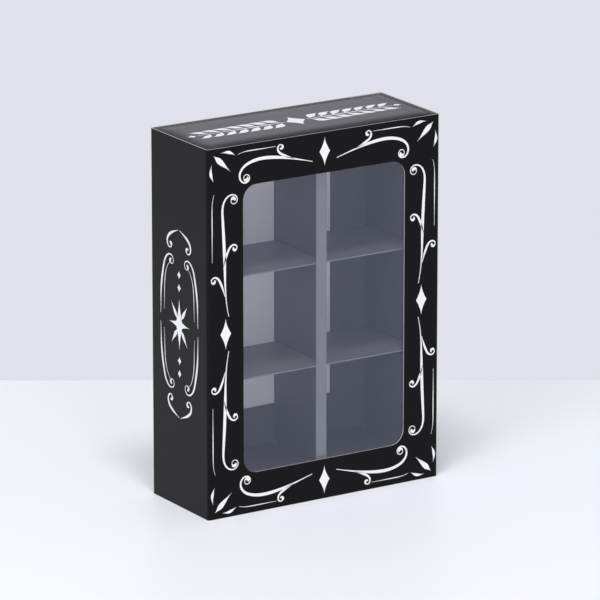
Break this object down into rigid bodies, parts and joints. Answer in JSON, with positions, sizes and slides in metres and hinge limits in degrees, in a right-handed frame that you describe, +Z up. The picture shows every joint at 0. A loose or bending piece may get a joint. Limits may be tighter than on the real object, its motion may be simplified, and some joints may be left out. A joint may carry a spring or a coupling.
{
  "type": "chocolate box",
  "caption": "Upright card sleeve with a rounded film window, holding a sliding drawer tray with a card insert of six cells for chocolates.",
  "frame": {"origin": "middle of the base of the standing box", "axes": "+X to the right along the window side, +Y from the window to the back, +Z up along the box"},
  "size_m": [0.0984, 0.0386, 0.137],
  "materials": {
    "printed_card": "black printed card with a satin coating",
    "tray_card": "black coated card",
    "clear_film": "clear glossy film",
    "insert_card": "dark grey card with a satin coating",
    "adhesive": "dried white glue"
  },
  "bodies": {
    "sleeve": {"outer_sleeve": "printed_card", "seam_adhesive": "adhesive", "window_adhesive": "adhesive", "window_film": "clear_film"},
    "drawer": {"drawer_tray": "tray_card", "pocket_insert": "insert_card", "lower_shelf": "insert_card", "upper_shelf": "insert_card"}
  },
  "joints": [
    {"name": "drawer_slide", "type": "slide", "parent": "sleeve", "child": "drawer", "axis": [0, 0, 1], "range_m": [0, 0.12]}
  ]
}
